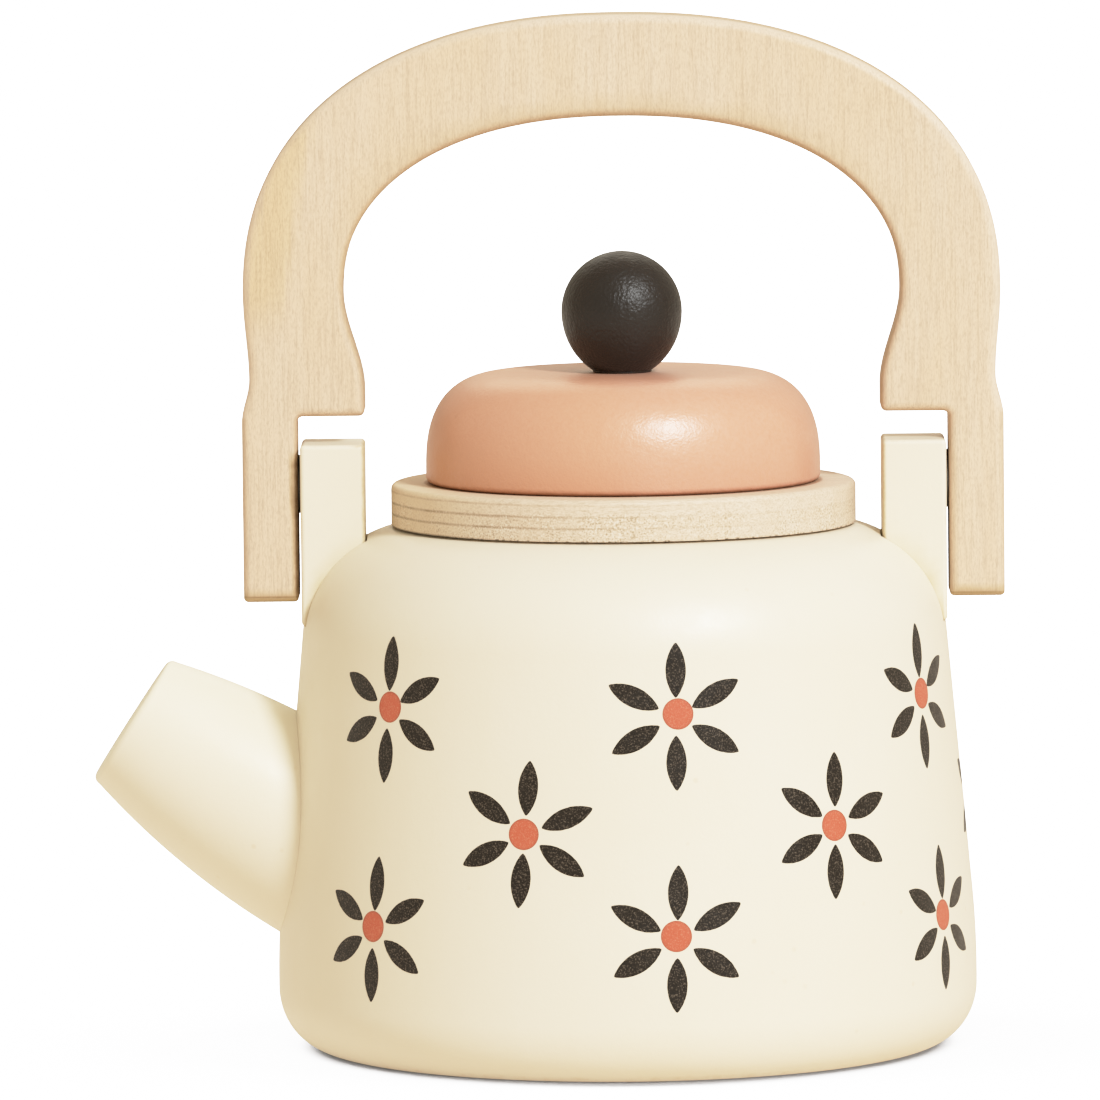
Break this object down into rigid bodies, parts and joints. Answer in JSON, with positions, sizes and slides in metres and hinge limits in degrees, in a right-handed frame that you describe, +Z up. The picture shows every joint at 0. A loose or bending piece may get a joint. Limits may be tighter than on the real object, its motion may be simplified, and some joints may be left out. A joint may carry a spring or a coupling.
{
  "type": "wooden toy kettle",
  "caption": "Wooden toy kettle with a tapered hollow body, plywood collar, coped spout, loose lid with ball knob and a swinging arch handle on dowel pivots.",
  "frame": {"origin": "on the body's turning axis, at the flat underside that the kettle stands on", "axes": "+Z up along the body's axis, -X towards the spout's tip, the handle's arch in the XZ plane, -Y the side shown in the picture"},
  "size_m": [0.152, 0.1168, 0.1722],
  "materials": {
    "cream_paint": "satin cream paint with printed flowers",
    "cream_spout_paint": "satin cream paint",
    "cream_ear_paint": "satin cream paint",
    "collar_plywood": "sanded and sealed plywood, plies showing on the rim",
    "handle_plywood": "sanded and sealed plywood",
    "base_plywood": "sanded plywood",
    "lid_paint": "satin salmon paint",
    "plug_wood": "sanded wood",
    "knob_paint": "matt black paint",
    "dowel_wood": "plain beech",
    "washer_fibre": "black fibre"
  },
  "bodies": {
    "kettle": {"body_shell": "cream_paint", "base_disc": "base_plywood", "collar_ring": "collar_plywood", "spout": "cream_spout_paint", "spout_dowel": "dowel_wood", "bracket_left": "cream_ear_paint", "bracket_right": "cream_ear_paint", "bracket_dowel_left": "dowel_wood", "bracket_dowel_right": "dowel_wood", "pivot_pin_left": "dowel_wood", "pivot_pin_right": "dowel_wood", "pivot_washer_left": "washer_fibre", "pivot_washer_right": "washer_fibre"},
    "swing_handle": {"handle": "handle_plywood"},
    "lid": {"lid_cap": "lid_paint", "lid_plug": "plug_wood", "knob": "knob_paint", "knob_dowel": "dowel_wood"}
  },
  "joints": [
    {"name": "handle_swing", "type": "hinge", "parent": "kettle", "child": "swing_handle", "pos_m": [0, 0, 0.0942], "axis": [1, 0, 0], "range_deg": [-100, 100]},
    {"name": "lid_lift", "type": "slide", "parent": "kettle", "child": "lid", "axis": [0, 0, 1], "range_m": [0, 0.02]}
  ]
}
